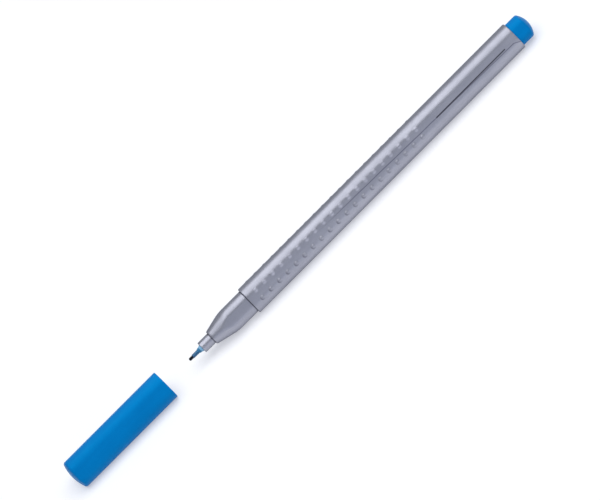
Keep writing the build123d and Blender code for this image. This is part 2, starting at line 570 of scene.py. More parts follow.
class Coat(Sheet):
    """Node tree of a new material, with calls for its Principled BSDF."""

    def __init__(self, name: str, shown: Colour) -> None:
        """Starts the material.

        Args:
            name: Name of the material.
            shown: Its plain colour in a viewport.
        """
        self.material = bpy.data.materials.new(name)
        self.material.use_nodes = True
        self.material.diffuse_color = shown
        super().__init__(self.material.node_tree)
        self.shader = self.tree.nodes["Principled BSDF"]

    @cached_property
    def place(self) -> NodeSocket:
        """Object coordinates."""
        return self.node("ShaderNodeTexCoord").outputs["Object"]

    @cached_property
    def axes(self) -> list[NodeSocket]:
        """Object coordinates along the pen, to its side and upwards.

        Returns:
            The three sockets.
        """
        parts = self.node("ShaderNodeSeparateXYZ")
        self.put(self.place, parts.inputs[0])
        return list(parts.outputs)

    def dress(self, **inputs: Value | Tint) -> None:
        """Links or sets inputs of the shader, whose names have _ for a space."""
        for name, value in inputs.items():
            self.put(value, self.shader.inputs[name.replace("_", " ")])

    def bump(self, height: NodeSocket, depth: float) -> None:
        """Adds fine relief.

        Args:
            height: Height from 0 to 1.
            depth: Depth of the relief.
        """
        relief = self.node("ShaderNodeBump")
        relief.inputs["Strength"].default_value = 1.0
        relief.inputs["Distance"].default_value = depth
        self.put(height, relief.inputs["Height"])
        self.dress(Normal=relief.outputs["Normal"])

    def ink_film(self, front: float, reach: float, start: float = 1.0) -> NodeSocket:
        """Gives how much dried ink covers a piece, blotched along its edge.

        Args:
            front: Inked end of the piece.
            reach: How far the ink crept from that end.
            start: Cover at that end, where more than 1 covers some of the way in full.

        Returns:
            The cover's socket, from 0 to 1.
        """
        near = self.span(self.axes[0], front, front + reach, start, 0.0)
        blotch = self.span(self.noise(self.place, scale=2600.0), 0.3, 0.7, -0.3, 0.3)
        return self.span(self.add(near, blotch), 0.0, 1.0)


class SharedEffect:
    """A shader node group that several finishes lay on with their own values.

    Attributes:
        name: Name of the group.
        inputs: Its inputs beside the coordinates.
        outputs: Its outputs.
    """

    name: ClassVar[str]
    inputs: ClassVar[tuple[str, ...]]
    outputs: ClassVar[tuple[str, ...]]

    def tree(self) -> ShaderNodeTree:
        """The node group, built on first use.

        Returns:
            The group's node tree.
        """
        found = bpy.data.node_groups.get(self.name)
        if found:
            return found
        tree = bpy.data.node_groups.new(self.name, "ShaderNodeTree")
        sockets = [("Vector", "INPUT", "NodeSocketVector")]
        sockets += [(name, "INPUT", "NodeSocketFloat") for name in self.inputs]
        sockets += [(name, "OUTPUT", "NodeSocketFloat") for name in self.outputs]
        for name, way, kind in sockets:
            tree.interface.new_socket(name=name, in_out=way, socket_type=kind)
        sheet = Sheet(tree)
        given = sheet.node("NodeGroupInput")
        result = sheet.node("NodeGroupOutput")
        for name, value in zip(self.outputs, self.fill(sheet, given.outputs)):
            sheet.put(value, result.inputs[name])
        return tree

    def fill(self, sheet: Sheet, given: bpy_prop_collection) -> list[NodeSocket]:
        """Adds the group's own nodes.

        Args:
            sheet: The group's node tree.
            given: Sockets of its inputs.

        Returns:
            A socket for each output.
        """
        raise NotImplementedError

    def lay(self, coat: Coat, **values: float) -> bpy_prop_collection:
        """Lays the effect on a material, over its Object coordinates.

        Args:
            coat: The material.
            values: A value for each of the group's inputs, with _ for a space in its name.

        Returns:
            The group node's outputs.
        """
        made = coat.node("ShaderNodeGroup", node_tree=self.tree())
        coat.put(coat.place, made.inputs["Vector"])
        for name, value in values.items():
            made.inputs[name.replace("_", " ")].default_value = value
        return made.outputs


class MouldedSkin(SharedEffect):
    """Skin of moulded plastic: flow along the pen, cloudy tone, and a fine spark-eroded grain."""

    name = "moulded_skin"
    inputs = ("Grain Scale", "Flow Scale")
    outputs = ("Tone", "Gloss", "Height")

    def fill(self, sheet: Sheet, given: bpy_prop_collection) -> list[NodeSocket]:
        """Adds the flow, cloud, grain and patch noises.

        Args:
            sheet: The group's node tree.
            given: Sockets of its inputs.

        Returns:
            Sockets of the tone, the gloss and the height.
        """
        place = given["Vector"]
        drawn = sheet.stretch(place, scale=(0.06, 1.0, 1.0))
        flow = sheet.noise(drawn, given["Flow Scale"], detail=3.0, rough=0.55)
        cloud = sheet.noise(place, scale=130.0)
        grain = sheet.noise(place, given["Grain Scale"], detail=3.0, rough=0.6)
        patch = sheet.noise(place, scale=320.0, detail=3.0, rough=0.6)
        tone = sheet.mixed(flow, 0.65, cloud, 0.35)
        gloss = sheet.mixed(grain, 0.45, patch, 0.55)
        return [sheet.span(tone, 0.3, 0.7), sheet.span(gloss, 0.3, 0.7), grain]


class PigmentFlake(SharedEffect):
    """Fine metal flakes in a silver plastic: each tiny cell is a little lighter or darker."""

    name = "pigment_flake"
    inputs = ("Flake Scale",)
    outputs = ("Sparkle", "Height")

    def fill(self, sheet: Sheet, given: bpy_prop_collection) -> list[NodeSocket]:
        """Adds the flake cells.

        Args:
            sheet: The group's node tree.
            given: Sockets of its inputs.

        Returns:
            Sockets of the sparkle and the height.
        """
        cells = sheet.node("ShaderNodeTexVoronoi", feature="F1")
        sheet.put(given["Vector"], cells.inputs["Vector"])
        sheet.put(given["Flake Scale"], cells.inputs["Scale"])
        parts = sheet.node("ShaderNodeSeparateColor")
        sheet.put(cells.outputs["Color"], parts.inputs["Color"])
        return [parts.outputs[0], parts.outputs[1]]


class HandlingScuffs(SharedEffect):
    """Faint fine scratches from a pen case and the hand, mostly along the pen."""

    name = "handling_scuffs"
    inputs = ("Amount",)
    outputs = ("Mask",)

    def fill(self, sheet: Sheet, given: bpy_prop_collection) -> list[NodeSocket]:
        """Adds two sets of thin stretched lines and breaks them up in patches.

        Args:
            sheet: The group's node tree.
            given: Sockets of its inputs.

        Returns:
            Socket of the mask.
        """
        place = given["Vector"]
        lines: list[NodeSocket] = []
        for turn, scale in ((0.35, 2600.0), (-0.2, 3400.0)):
            drawn = sheet.stretch(place, (0.045, 1.0, 1.0), (0.0, turn * 0.3, turn))
            ridge = sheet.gap(sheet.noise(drawn, scale, detail=1.0), 0.5)
            lines.append(sheet.span(ridge, 0.0, 0.014, 1.0, 0.0))
        patches = sheet.span(sheet.noise(place, scale=210.0), 0.48, 0.66)
        worn = sheet.times(sheet.larger(*lines), patches)
        return [sheet.times(worn, given["Amount"])]


class FibreStrands(SharedEffect):
    """Bonded fibres that run along the pen."""

    name = "fibre_strands"
    inputs = ("Strand Scale",)
    outputs = ("Strand", "Soak")

    def fill(self, sheet: Sheet, given: bpy_prop_collection) -> list[NodeSocket]:
        """Adds the strands and the uneven soaking of the ink.

        Args:
            sheet: The group's node tree.
            given: Sockets of its inputs.

        Returns:
            Sockets of the strands and the soaking.
        """
        place = given["Vector"]
        drawn = sheet.stretch(place, scale=(0.05, 1.0, 1.0))
        strand = sheet.noise(drawn, given["Strand Scale"], detail=2.0, rough=0.6)
        soak = sheet.noise(place, scale=900.0, detail=3.0)
        return [sheet.span(strand, 0.35, 0.65), sheet.span(soak, 0.3, 0.7)]


SKIN = MouldedSkin()
FLAKE = PigmentFlake()
SCUFFS = HandlingScuffs()
STRANDS = FibreStrands()


# Finishes


@dataclass(frozen=True)
class Finish:
    """What every finish has.

    Attributes:
        name: Name of the material.
        light: Colour where the tone is lightest.
        deep: Colour where the tone is deepest.
        smooth: Roughness where the surface is smoothest.
        dull: Roughness where it is dullest.
    """

    name: str
    light: Colour
    deep: Colour
    smooth: float
    dull: float

    def make(self) -> Material:
        """Builds the material.

        Returns:
            The material.
        """
        coat = Coat(self.name, self.light)
        self.paint(coat)
        return coat.material

    def paint(self, coat: Coat) -> None:
        """Adds the finish's own nodes to its new material."""
        raise NotImplementedError

    def toned(self, coat: Coat, tone: NodeSocket) -> NodeSocket:
        """Colour for a tone from 0, the deepest, to 1, the lightest."""
        return coat.blend(tone, self.deep, self.light)

    def dulled(self, coat: Coat, share: NodeSocket) -> NodeSocket:
        """Roughness for a share from 0, the smoothest, to 1, the dullest."""
        return coat.span(share, 0.0, 1.0, self.smooth, self.dull)


@dataclass(frozen=True)
class SilverPlastic(Finish):
    """Moulded plastic with silver pigment, in the pen's pale silver.

    Attributes:
        light: Colour where the tone is lightest.
        deep: Colour where the tone is deepest.
        smooth: Roughness where the surface is smoothest.
        dull: Roughness where it is dullest.
        metallic: Share of the light that the pigment reflects as metal does.
        shine: Specular level.
        edge: Tint of the reflection at a glancing angle.
        scuff: How much rougher a scuff is.
        grain: Depth of the moulded grain.
    """

    light: Colour = (0.428, 0.437, 0.503, 1.0)
    deep: Colour = (0.377, 0.386, 0.45, 1.0)
    smooth: float = 0.3
    dull: float = 0.4
    metallic: float = 0.7
    shine: float = 0.1
    edge: Colour = (0.2, 0.2, 0.2, 1.0)
    scuff: float = 0.12
    grain: float = 0.002 * MM

    def paint(self, coat: Coat) -> None:
        """Adds what every silver piece has, and then the piece's own marks.

        Args:
            coat: The new material.
        """
        skin = SKIN.lay(coat, Grain_Scale=5200.0, Flow_Scale=520.0)
        flake = FLAKE.lay(coat, Flake_Scale=11000.0)
        scuffs = SCUFFS.lay(coat, Amount=0.5)
        sparkle = coat.span(flake["Sparkle"], 0.0, 1.0, 0.93, 1.07)
        colour = coat.blend(1.0, self.toned(coat, skin["Tone"]), sparkle, "MULTIPLY")
        rough = coat.raised(self.dulled(coat, skin["Gloss"]), scuffs["Mask"], self.scuff)
        coat.dress(Metallic=self.metallic, Specular_IOR_Level=self.shine, Specular_Tint=self.edge)
        colour, rough = self.marked(coat, colour, rough)
        coat.dress(Base_Color=colour, Roughness=rough)
        coat.bump(coat.raised(skin["Height"], flake["Height"], 0.25), self.grain)

    def marked(self, coat: Coat, colour: NodeSocket, rough: NodeSocket) -> tuple[NodeSocket, NodeSocket]:
        """Colour and roughness with the piece's own marks."""
        raise NotImplementedError


@dataclass(frozen=True)
class CreasedSilver(SilverPlastic):
    """Silver plastic with a thin dark line of painted shade in the creases across the pen, partly dust and
    ink.

    Attributes:
        creases: Places of the creases along the pen.
        width: How far the dark line reaches ahead of a crease.
        crease_shade: Colour of the line of painted shade.
        cover: How much of the silver it covers.
        stray: How far the line strays.
    """

    creases: tuple[float, ...] = ()
    width: float = 0.3 * MM
    crease_shade: Colour = (0.07, 0.07, 0.1, 1.0)
    cover: float = 0.6
    stray: float = 0.2 * MM

    def marked(self, coat: Coat, colour: NodeSocket, rough: NodeSocket) -> tuple[NodeSocket, NodeSocket]:
        """Adds the dark lines of painted shade.

        Args:
            coat: The new material.
            colour: Colour so far.
            rough: Roughness so far.

        Returns:
            Sockets of the colour and the roughness.
        """
        ragged = coat.stray(coat.place, 1500.0, 3.0, self.stray)
        along = coat.add(coat.axes[0], ragged)
        narrow = 0.3 * self.width
        for crease in self.creases:
            # painted shade: the silver darkens towards each crease, partly as dust and ink
            off = coat.gap(along, crease - narrow)
            colour = coat.blend(coat.span(off, narrow, self.width, self.cover, 0.0), colour, self.crease_shade)
        return colour, rough


@dataclass(frozen=True)
class KnitLine:
    """Thin dark line where two flows of plastic met, which drifts down a side of the barrel.

    Attributes:
        colour: Its colour.
        cover: How much of the silver it covers.
        edge: Where its edge starts and ends, from its middle.
        fade: Where it starts to show and where it shows in full, behind the barrel's front.
        start: Place behind the front from which it drifts.
        offset: How far down the side it lies there.
        drift: How far it drifts down the side, per length.
        kink_length: Length at the rear in which it turns further down.
        kink: How much steeper it is there.
        wander: Width over which it strays.
    """

    colour: Colour = (0.14, 0.14, 0.2, 1.0)
    cover: float = 0.75
    edge: Pair = (0.06 * MM, 0.24 * MM)
    fade: Pair = (26 * MM, 48 * MM)
    start: float = 48.5 * MM
    offset: float = -0.15 * MM
    drift: float = 0.0197
    kink_length: float = 2.1 * MM
    kink: float = 0.5
    wander: float = 0.22 * MM

    def mask(self, coat: Coat, down_side: NodeSocket, front: float, rear: float) -> NodeSocket:
        """Mask of the line.

        Args:
            coat: The barrel's material.
            down_side: Distance down the side from its middle.
            front: Front end of the barrel.
            rear: Rear end of the barrel.

        Returns:
            The mask's socket.
        """
        along = coat.axes[0]
        line = coat.add(coat.times(coat.minus(along, front + self.start), self.drift), self.offset)
        turned_down = coat.larger(coat.minus(along, rear - self.kink_length), 0.0)
        line = coat.raised(line, turned_down, self.kink)
        line = coat.add(line, coat.stray(coat.place, 160.0, 2.0, self.wander))
        thin = coat.span(coat.gap(down_side, line), *self.edge, self.cover, 0.0)
        return coat.times(thin, coat.span(along, front + self.fade[0], front + self.fade[1]))


@dataclass(frozen=True)
class PrintedRule:
    """Plain rule printed near the rear of a side of the barrel.

    Attributes:
        colour: Colour of the print.
        cover: How much of the silver it covers.
        dullness: How much rougher than the silver it is.
        offset: How far down the side it lies from the middle.
        middle: How far its middle lies ahead of the barrel's rear.
        edge: Where its edge starts and ends, across from its middle.
        end: Where its end starts and ends, along from its middle.
    """

    colour: Colour = (0.035, 0.035, 0.05, 1.0)
    cover: float = 0.9
    dullness: float = 0.15
    offset: float = 0.41 * MM
    middle: float = 20.0 * MM
    edge: Pair = (0.17 * MM, 0.24 * MM)
    end: Pair = (14.7 * MM, 14.8 * MM)

    def mask(self, coat: Coat, down_side: NodeSocket, rear: float) -> NodeSocket:
        """Mask of the rule.

        Args:
            coat: The barrel's material.
            down_side: Distance down the side from its middle.
            rear: Rear end of the barrel.

        Returns:
            The mask's socket.
        """
        thin = coat.span(coat.gap(down_side, self.offset), *self.edge, 1.0, 0.0)
        length = coat.gap(coat.axes[0], rear - self.middle)
        return coat.times(thin, coat.span(length, *self.end, 1.0, 0.0))


@dataclass(frozen=True)
class BarrelSilver(SilverPlastic):
    """Silver plastic of the barrel, with a knit line and a printed rule on one side and marks on the nubs:
    dust with painted shade and rubbing with a painted highlight.

    Attributes:
        height: Height of the pen's axis over the floor.
        front: Front end of the barrel.
        rear: Rear end of the barrel.
        facing: Distance from the axis at which the marked side starts to show marks, and shows them in full.
        knit: The knit line.
        rule: The printed rule.
        rub_highlight_colour: Colour of the rubbed nubs, lighter as a painted highlight.
        rub_highlight_cover: How much of the silver the rubbing and painted highlight covers.
        rub_highlight_dullness: How much rougher it is.
        dust_shade_colour: Colour of the dust and painted shade by the nubs.
        dust_shade_cover: How much of the silver the dust and painted shade cover, at the least and the most.
        dust_shade_dullness: How much rougher it is.
    """

    height: float = 0.0
    front: float = 0.0
    rear: float = 0.0
    facing: Pair = (3.6 * MM, 3.9 * MM)
    knit: KnitLine = KnitLine()
    rule: PrintedRule = PrintedRule()
    rub_highlight_colour: Colour = (0.68, 0.69, 0.8, 1.0)
    rub_highlight_cover: float = 0.3
    rub_highlight_dullness: float = 0.1
    dust_shade_colour: Colour = (0.1, 0.1, 0.14, 1.0)
    dust_shade_cover: Pair = (0.3, 0.6)
    dust_shade_dullness: float = 0.4

    def marked(self, coat: Coat, colour: NodeSocket, rough: NodeSocket) -> tuple[NodeSocket, NodeSocket]:
        """Adds the knit line, the rule, the rubbing with its painted highlight and the dust with its painted
        shade.

        Args:
            coat: The new material.
            colour: Colour so far.
            rough: Roughness so far.

        Returns:
            Sockets of the colour and the roughness.
        """
        _, side, up = coat.axes
        over = coat.minus(up, self.height)
        lean = math.radians(30)
        down_side = coat.mixed(side, -math.sin(lean), over, -math.cos(lean))
        outward = coat.mixed(side, -math.cos(lean), over, math.sin(lean))
        facing = coat.span(outward, *self.facing)
        knit = coat.times(self.knit.mask(coat, down_side, self.front, self.rear), facing)
        rule = coat.times(self.rule.mask(coat, down_side, self.rear), facing)
        # painted highlight: the high row of nubs is lightened as if rubbed, most towards the top and the
        # inner side
        rubbed_highlight = coat.attribute("rubbed_highlight")
        # dust with painted shade round the nubs' feet, darkest on the nib side and outer side of the low row
        dust_shade = coat.attribute("dust_shade")
        patches = coat.span(coat.noise(coat.place, scale=900.0), 0.3, 0.7, *self.dust_shade_cover)
        layers = (
            (knit, self.knit.colour),
            (coat.times(rule, self.rule.cover), self.rule.colour),
            (coat.times(rubbed_highlight, self.rub_highlight_cover), self.rub_highlight_colour),
            (coat.times(dust_shade, patches), self.dust_shade_colour),
        )
        for cover, tint in layers:
            colour = coat.blend(cover, colour, tint)
        dulling = ((rule, self.rule.dullness), (dust_shade, self.dust_shade_dullness), (rubbed_highlight, self.rub_highlight_dullness))
        for mark, dullness in dulling:
            rough = coat.raised(rough, mark, dullness)
        coat.dress(Metallic=coat.span(rule, 0.0, 1.0, self.metallic, 0.0))
        return colour, rough


@dataclass(frozen=True)
class ColouredPlastic(Finish):
    """Solid-coloured moulded plastic.

    Attributes:
        shine: Specular level.
        glint: Tint of the reflection.
        scuff: How much rougher a scuff is.
        grain: Depth of the moulded grain.
    """

    shine: float = 0.36
    glint: Colour = (0.1, 0.65, 1.0, 1.0)
    scuff: float = 0.14
    grain: float = 0.005 * MM

    def paint(self, coat: Coat) -> None:
        """Adds the plastic's tone, gloss, scuffs and grain.

        Args:
            coat: The new material.
        """
        skin = SKIN.lay(coat, Grain_Scale=3400.0, Flow_Scale=420.0)
        scuffs = SCUFFS.lay(coat, Amount=0.55)
        coat.dress(
            Base_Color=self.toned(coat, skin["Tone"]),
            Roughness=coat.raised(self.dulled(coat, skin["Gloss"]), scuffs["Mask"], self.scuff),
            Specular_IOR_Level=self.shine,
            Specular_Tint=self.glint,
        )
        coat.bump(skin["Height"], self.grain)


@dataclass(frozen=True)
class StainedPlastic(ColouredPlastic):
    """Coloured plastic with ink crept over it from one end.

    Attributes:
        stain: Colour of the inked end.
        front: Inked end of the piece.
        reach: How far the ink crept.
        start: Cover at the inked end, where more than 1 covers some of the way in full.
    """

    stain: Colour = (0.05, 0.21, 0.4, 1.0)
    front: float = 0.0
    reach: float = 1.15 * MM
    start: float = 1.5

    def toned(self, coat: Coat, tone: NodeSocket) -> NodeSocket:
        """Colour for a tone from 0, the deepest, to 1, the lightest, under the ink."""
        film = coat.ink_film(self.front, self.reach, self.start)
        return coat.blend(film, super().toned(coat, tone), self.stain)


@dataclass(frozen=True)
class InkedSteel(Finish):
    """Thin drawn steel tube with a bluish film of dried ink, which is deep in colour.

    Attributes:
        front: Open end of the tube.
        reach: How far the ink film thins out from that end.
        metallic: Share of the light that is reflected as metal does, without the film and under it.
        grain: Depth of the drawn grain.
    """

    front: float = 0.0
    reach: float = 2.3 * MM
    metallic: Pair = (0.85, 0.45)
    grain: float = 0.003 * MM

    def paint(self, coat: Coat) -> None:
        """Adds the drawn grain and the film.

        Args:
            coat: The new material.
        """
        drawn = STRANDS.lay(coat, Strand_Scale=14000.0)
        film = coat.ink_film(self.front, self.reach)
        coat.dress(
            Base_Color=coat.blend(film, self.light, self.deep),
            Roughness=self.dulled(coat, drawn["Strand"]),
            Metallic=coat.span(film, 0.0, 1.0, *self.metallic),
        )
        coat.bump(drawn["Strand"], self.grain)


@dataclass(frozen=True)
class InkedFibre(Finish):
    """Bonded fibre soaked with ink.

    Attributes:
        strands: Strands per metre across the piece.
        relief: Depth of the strands.
        shine: Specular level.
    """

    strands: float = 9000.0
    relief: float = 0.02 * MM
    shine: float = 0.12

    def paint(self, coat: Coat) -> None:
        """Adds the strands and the ink in them.

        Args:
            coat: The new material.
        """
        fibre = STRANDS.lay(coat, Strand_Scale=self.strands)
        coat.dress(
            Base_Color=self.toned(coat, coat.times(fibre["Soak"], fibre["Strand"])),
            Roughness=self.dulled(coat, fibre["Soak"]),
            Specular_IOR_Level=self.shine,
        )
        coat.bump(fibre["Strand"], self.relief)


@dataclass(frozen=True)
class ClearFilm(Finish):
    """Thin clear film wrapped round the reservoir.

    Attributes:
        clearness: Share of the light that passes.
        grain: Depth of its unevenness.
    """

    clearness: float = 0.6
    grain: float = 0.01 * MM

    def paint(self, coat: Coat) -> None:
        """Adds the film's tone, gloss and unevenness.

        Args:
            coat: The new material.
        """
        skin = SKIN.lay(coat, Grain_Scale=900.0, Flow_Scale=300.0)
        coat.dress(
            Base_Color=self.toned(coat, skin["Tone"]),
            Roughness=self.dulled(coat, skin["Gloss"]),
            Transmission_Weight=self.clearness,
        )
        coat.bump(skin["Height"], self.grain)


# Sub-assemblies


@dataclass
class Barrel:
    """Three-sided barrel with two rows of grip nubs on each side.

    Attributes:
        height: Height of the pen's axis over the floor.
        outline: Outline of the skin.
        wall: Thickness of the wall.
        rim: Radius of the rounded end rims.
        stretches: Stretches into which the wall is parted.
        nub_count: Nubs in a row.
        nub_pitch: Distance from nub to nub.
        first_nub: First nub behind the front end.
        nub_radius: Radius of a nub's foot.
        nub_height: Height of a nub.
        row_angle: Angle of a row past the edge of the flat.
        mark_hold: Share of a row, from the nib, that is held and marked in full.
        mark_fade: Share of the marks that is gone at the rear end of a row.
        rub_highlight_lean: How much more a nub's inner side is rubbed and lightened as a painted highlight
            than its middle.
        NUB_PROFILE: Half outline of a nub from its top down: share of the radius, share of the height,
            and how much dust and painted shade lies there.
        NUB_DUST_SHADE: Share of that dust and painted shade on the nubs of each row: all round, more on the
            outer side, and more on the rear side.
    """

    height: float
    outline: SoftTriangle = SoftTriangle(2.5 * MM, 3.6 * MM)
    wall: float = 0.85 * MM
    rim: float = 0.3 * MM
    stretches: int = 12
    nub_count: int = 20
    nub_pitch: float = 3.62 * MM
    first_nub: float = 3.7 * MM
    nub_radius: float = 0.8 * MM
    nub_height: float = 0.2 * MM
    row_angle: float = math.radians(6.0)
    mark_hold: float = 0.55
    mark_fade: float = 0.6
    rub_highlight_lean: float = 0.7

    NUB_PROFILE: ClassVar[tuple[Triple, ...]] = (
        (0.0, 1.0, 0.0),
        (0.35, 0.9, 0.25),
        (0.66, 0.6, 0.65),
        (0.9, 0.22, 0.8),
        (1.06, 0.05, 0.35),
        (1.24, -0.03, 0.0),
        (1.1, -0.6, 0.0),
    )
    NUB_DUST_SHADE: ClassVar[dict[NubRow, Triple]] = {
        NubRow.HIGH: (0.2, 0.22, 0.0),
        NubRow.LOW: (0.5, 0.32, -0.67),
    }

    def build(self) -> None:
        """Builds and dresses the barrel."""
        low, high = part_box("barrel")
        loft = Loft(self.height)
        bore = self.outline.inset(self.wall)
        loft.triangle(low.x, bore)
        loft.rounded_rim(self.outline, low.x, self.rim, End.NIB_WAY, inwards=False)
        loft.wall(self.outline, low.x, high.x, self.stretches)
        loft.rounded_rim(self.outline, high.x, self.rim, End.PLUG_WAY, inwards=True)
        loft.triangle(high.x, bore)
        loft.skin(pierced=True)
        self.add_nubs(loft.bm, low.x)
        finish = BarrelSilver(
            "silver_barrel", smooth=0.32, dull=0.42, height=self.height, front=low.x, rear=high.x
        )
        seat(as_piece(loft.bm, "barrel_skin"), "barrel", "pen", finish.make())

    def add_nubs(self, bm: BMesh, front: float) -> None:
        """Sets the nub rows on the barrel, with marks for dust with painted shade and for rubbing with a
        painted highlight.

        Args:
            bm: The barrel's mesh.
            front: Front end of the barrel.
        """
        # per-vertex masks of dust with painted shade and of rubbing with a painted highlight
        for name in ("dust_shade", "rubbed_highlight"):
            bm.verts.layers.float.new(name)
        marks = bm.verts.layers.float.values()
        row_length = self.nub_pitch * (self.nub_count - 1)
        for row in NubRow:
            pattern = self.nub(row)
            for place in self.nub_places(front, row):
                known = len(bm.verts)
                bm.from_mesh(pattern)
                bm.verts.ensure_lookup_table()
                added = bm.verts[known:]
                bmesh.ops.transform(bm, matrix=place, verts=added)
                share = (place.translation.x - front - self.first_nub) / row_length
                kept = 1.0 - self.mark_fade * max(share - self.mark_hold, 0.0) / (1.0 - self.mark_hold)
                for vert in added:
                    for mark in marks:
                        vert[mark] *= kept
            bpy.data.meshes.remove(pattern)

    def nub_places(self, front: float, row: NubRow) -> list[Matrix]:
        """Places of the nubs of one row on each side, the same to the left and the right of the pen.

        Args:
            front: Front end of the barrel.
            row: Which row.

        Returns:
            A matrix for each nub.
        """
        places: list[Matrix] = []
        for side in range(3):
            flat_angle = math.pi + side * THIRD_TURN
            hand = -row.value if side == 2 else row.value
            angle = flat_angle + hand * self.row_angle
            corner = flat_angle + hand * THIRD_TURN / 2
            out = Vector((0.0, math.sin(angle), math.cos(angle)))
            away = Vector((0.0, math.cos(angle), -math.sin(angle))) * hand
            turn = Matrix((Vector((1.0, 0.0, 0.0)), away, out)).transposed().to_4x4()
            foot = Vector((0.0, math.sin(corner), math.cos(corner))) * self.outline.centre_reach
            foot += out * self.outline.corner + Vector((0.0, 0.0, self.height))
            for number in range(self.nub_count):
                foot.x = front + self.first_nub + number * self.nub_pitch
                places.append(Matrix.Translation(foot) @ turn)
        return places

    def nub(self, row: NubRow) -> Mesh:
        """Makes one nub: a low round button whose foot runs out on the curved wall.

        Args:
            row: Row that it is for. The high one is rubbed bright as a painted highlight, mostly on its
                inner side, and the low one holds dust with painted shade on its nib side and its outer side.

        Returns:
            The nub, with its foot's middle at the origin and its top along z.
        """
        bm = bmesh.new()
        dust_shade = bm.verts.layers.float.new("dust_shade")
        rubbed_highlight = bm.verts.layers.float.new("rubbed_highlight")
        verts: list[BMVert] = []
        for out, up, dust_shade_share in self.NUB_PROFILE:
            verts.append(bm.verts.new((out * self.nub_radius, 0.0, up * self.nub_height)))
            verts[-1][dust_shade] = dust_shade_share
        spin_line(bm, verts, False, Vector((0.0, 0.0, 0.0)), Vector((0.0, 0.0, 1.0)), NUB_STEPS)
        bmesh.ops.remove_doubles(bm, verts=bm.verts, dist=MERGE_DISTANCE)
        bmesh.ops.holes_fill(bm, edges=bm.edges)
        all_round, outer, rear = self.NUB_DUST_SHADE[row]
        for vert in bm.verts:
            spread = max(vert.co.xy.length, self.nub_radius / 10)
            along, away = vert.co.x / spread, vert.co.y / spread
            # dust with painted shade, per vertex: more on the outer side and, on the low row, on the nib
            # side
            vert[dust_shade] *= max(all_round + outer * away + rear * along, 0.0)
            if row is NubRow.HIGH:
                # painted highlight: the high row is lightened towards its top and its inner side, as if
                # rubbed
                vert[rubbed_highlight] = max(vert.co.z / self.nub_height, 0.0) * (1.0 - self.rub_highlight_lean * away)
            vert.co.z -= self.wall_drop(vert.co.y)
        mesh = bpy.data.meshes.new("nub")
        bm.to_mesh(mesh)
        bm.free()
        return mesh

    def wall_drop(self, away: float) -> float:
        """How far the wall falls below the plane that touches it at a nub's foot.

        Args:
            away: Distance from the foot, away from the middle of the side.

        Returns:
            The drop.
        """
        to_flat = -self.outline.corner * math.sin(self.row_angle)
        if away < to_flat:
            edge_drop = self.outline.corner * (1 - math.cos(self.row_angle))
            return edge_drop + (to_flat - away) * math.tan(self.row_angle)
        return self.outline.corner - math.sqrt(self.outline.corner**2 - away**2)


@dataclass
class NoseSection:
    """Nose of the pen: spigot, round cone, three-sided waist and the tenon in the barrel.

    Attributes:
        height: Height of the pen's axis over the floor.
        waist: Outline of the waist.
        tenon: Outline of the tenon.
        spigot_length: Length of the spigot.
        spigot_radius: Radius of the spigot.
        spigot_rim: Rounding of the spigot's face.
        front_radius: Radius of the cone's face.
        nose_rim: Rounding of the cone's face.
        cone_length: Length over which the cone would reach the waist's corners.
        cone_run: How far rings follow the cone, as a share of that length.
        cone_rings: Number of those rings.
        waist_start: First plain ring of the waist, as a share of the cone's length.
        blend: Depth of the soft edge between the cone and the flats.
        stem_hole: Radius of the hole for the nib collar.
        bore: Radius of the bore behind.
        bore_depth: How far the bore goes ahead of the barrel's front.
        seam: Depth of the fine gap at the barrel's front.
        groove: Depth of the fine groove at the root of the spigot.
    """

    height: float
    waist: SoftTriangle = SoftTriangle(2.5 * MM, 2.92 * MM)
    tenon: SoftTriangle = SoftTriangle(2.5 * MM, 2.71 * MM)
    spigot_length: float = 4.2 * MM
    spigot_radius: float = 1.93 * MM
    spigot_rim: float = 0.15 * MM
    front_radius: float = 2.5 * MM
    nose_rim: float = 0.25 * MM
    cone_length: float = 7.9 * MM
    cone_run: float = 1.2
    cone_rings: int = 60
    waist_start: float = 1.25
    blend: float = 0.3 * MM
    stem_hole: float = 1.06 * MM
    bore: float = 2.6 * MM
    bore_depth: float = 6.0 * MM
    seam: float = 0.12 * MM
    groove: float = 0.12 * MM

    def build(self) -> None:
        """Builds and dresses the nose section."""
        low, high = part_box("nose_section")
        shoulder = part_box("barrel")[0].x
        face = low.x + self.spigot_length
        loft = Loft(self.height)
        loft.circle(low.x, self.stem_hole)
        loft.round_edge(low.x, self.spigot_radius, self.spigot_rim)
        loft.circle(face - self.groove, self.spigot_radius)
        loft.circle(face - self.groove * 0.7, self.spigot_radius - self.groove)
        loft.circle(face, self.spigot_radius - self.groove)
        loft.round_edge(face, self.front_radius, self.nose_rim)
        slope = (self.waist.centre_reach + self.waist.corner - self.front_radius) / self.cone_length
        for ring in range(1, self.cone_rings + 1):
            cone_end = self.cone_length * self.cone_run
            along = self.nose_rim + (cone_end - self.nose_rim) * ring / self.cone_rings
            loft.planed_circle(face + along, self.front_radius + along * slope, self.waist, self.blend)
        wide = 2 * self.waist.apothem
        loft.planed_circle(face + self.cone_length * self.waist_start, wide, self.waist, self.blend)
        loft.planed_circle(shoulder - self.seam, wide, self.waist, self.blend)
        loft.planed_circle(shoulder, wide, self.waist.inset(self.seam), self.blend)
        loft.triangle(shoulder, self.tenon)
        loft.triangle(high.x, self.tenon)
        loft.circle(high.x, self.bore)
        loft.circle(shoulder - self.bore_depth, self.bore)
        loft.circle(shoulder - self.bore_depth, self.stem_hole)
        loft.skin(pierced=True)
        finish = CreasedSilver("silver_nose", creases=(face, shoulder))
        seat(as_piece(loft.bm, "nose_section_skin"), "nose_section", "pen", finish.make())


